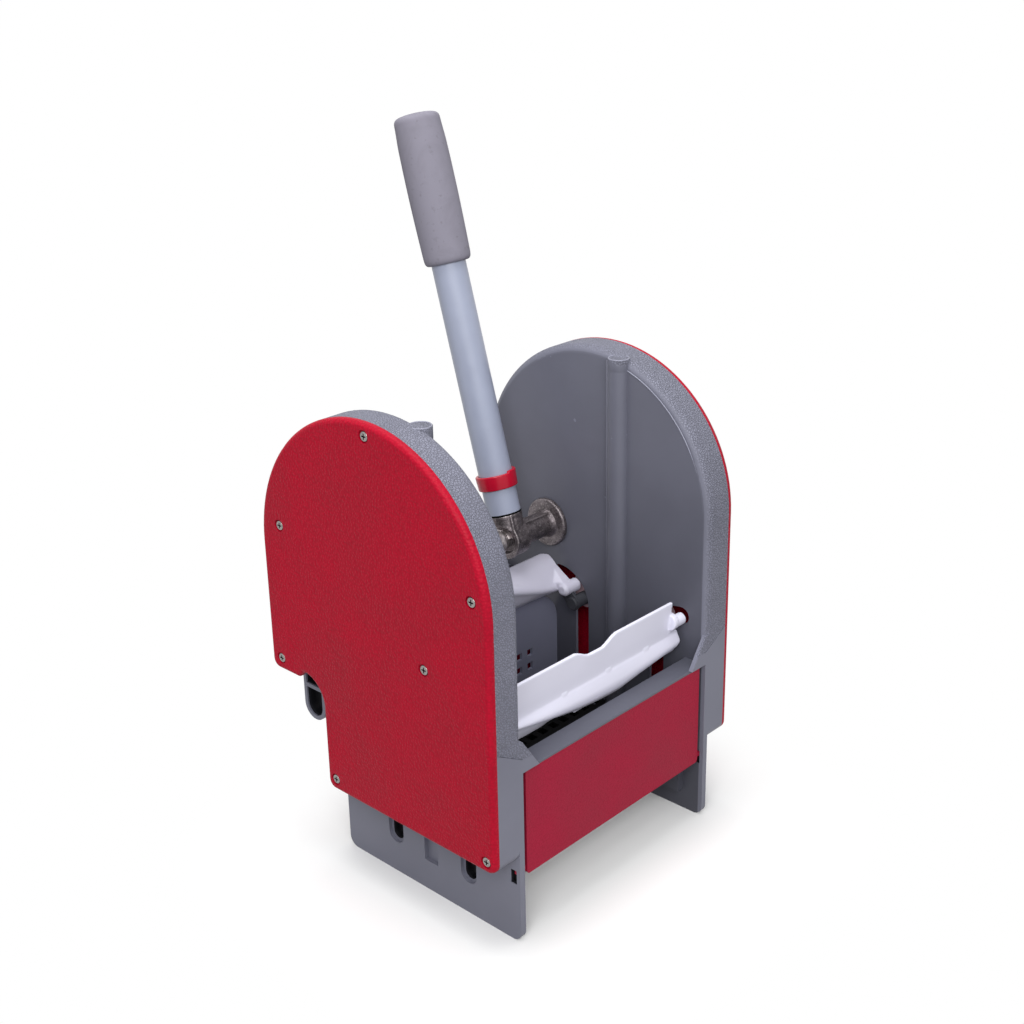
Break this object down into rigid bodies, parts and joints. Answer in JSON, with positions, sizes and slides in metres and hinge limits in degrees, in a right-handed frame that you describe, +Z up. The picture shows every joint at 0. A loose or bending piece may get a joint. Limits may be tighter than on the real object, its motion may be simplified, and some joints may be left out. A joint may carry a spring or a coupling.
{
  "type": "mop wringer",
  "caption": "Down-press mop wringer: arched side housings carry a basin, a lever geared to sliding carriages, and hinged jaws that close over a mop and press it onto a drain floor.",
  "frame": {"origin": "Midway between the sides, under the crown of their arches, at the level of the feet.", "axes": "+X across the wringer towards the side where the lever stands, -Y towards the front rail, +Z up."},
  "size_m": [0.2894, 0.2893, 0.589],
  "materials": {
    "grey_plastic": "moulded, leather grain on the rims, smooth below the seam",
    "red_plastic": "moulded, fine grain",
    "black_plastic": "moulded",
    "screw_steel": "zinc plated",
    "bearing_plastic": "moulded nylon",
    "rod_steel": "ground",
    "cast_metal": "as cast, rough",
    "tube_paint": "gloss powder coat",
    "grip_rubber": "matt",
    "carriage_plastic": "moulded",
    "white_plastic": "moulded, satin"
  },
  "bodies": {
    "frame": {"left_side_frame": "grey_plastic", "right_side_frame": "grey_plastic", "left_cover": "red_plastic", "right_cover": "red_plastic", "left_cover_screws": "screw_steel", "right_cover_screws": "screw_steel", "left_frame_screws": "screw_steel", "right_frame_screws": "screw_steel", "front_rail": "grey_plastic", "front_panel": "red_plastic", "front_wall": "grey_plastic", "back_wall": "grey_plastic", "back_panel": "red_plastic", "drain_floor": "black_plastic", "left_shaft_bush": "bearing_plastic", "right_shaft_bush": "bearing_plastic", "left_guide_rod": "rod_steel", "right_guide_rod": "rod_steel"},
    "lever": {"lever_shaft": "cast_metal", "lever_tube": "tube_paint", "tube_pin": "screw_steel", "lever_collar": "red_plastic", "lever_grip": "grip_rubber", "left_sector_gear": "cast_metal", "right_sector_gear": "cast_metal", "left_gear_washer": "screw_steel", "right_gear_washer": "screw_steel", "left_gear_screw": "screw_steel", "right_gear_screw": "screw_steel"},
    "carriage": {"left_carriage": "carriage_plastic", "right_carriage": "carriage_plastic"},
    "front_jaw": {"front_jaw": "white_plastic", "front_jaw_pins": "white_plastic", "front_jaw_clips": "rod_steel"},
    "back_jaw": {"back_jaw": "white_plastic", "back_jaw_pins": "white_plastic", "back_jaw_clips": "rod_steel"}
  },
  "joints": [
    {"name": "lever_swing", "type": "hinge", "parent": "frame", "child": "lever", "pos_m": [0, 0.0492, 0.2304], "axis": [1, 0, 0], "range_deg": [0, 100]},
    {"name": "carriage_slide", "type": "slide", "parent": "frame", "child": "carriage", "axis": [0, 0, 1], "range_m": [-0.0734, 0]},
    {"name": "front_jaw_swing", "type": "hinge", "parent": "carriage", "child": "front_jaw", "pos_m": [0, -0.0735, 0.166], "axis": [1, 0, 0], "range_deg": [-75, 0]},
    {"name": "back_jaw_swing", "type": "hinge", "parent": "carriage", "child": "back_jaw", "pos_m": [0, 0.0105, 0.166], "axis": [1, 0, 0], "range_deg": [0, 75]}
  ],
  "couplings": [
    {"joint": "carriage_slide", "follows": "lever_swing", "m_per_rad": -0.042},
    {"joint": "front_jaw_swing", "follows": "lever_swing", "ratio": -0.75},
    {"joint": "back_jaw_swing", "follows": "lever_swing", "ratio": 0.75}
  ]
}
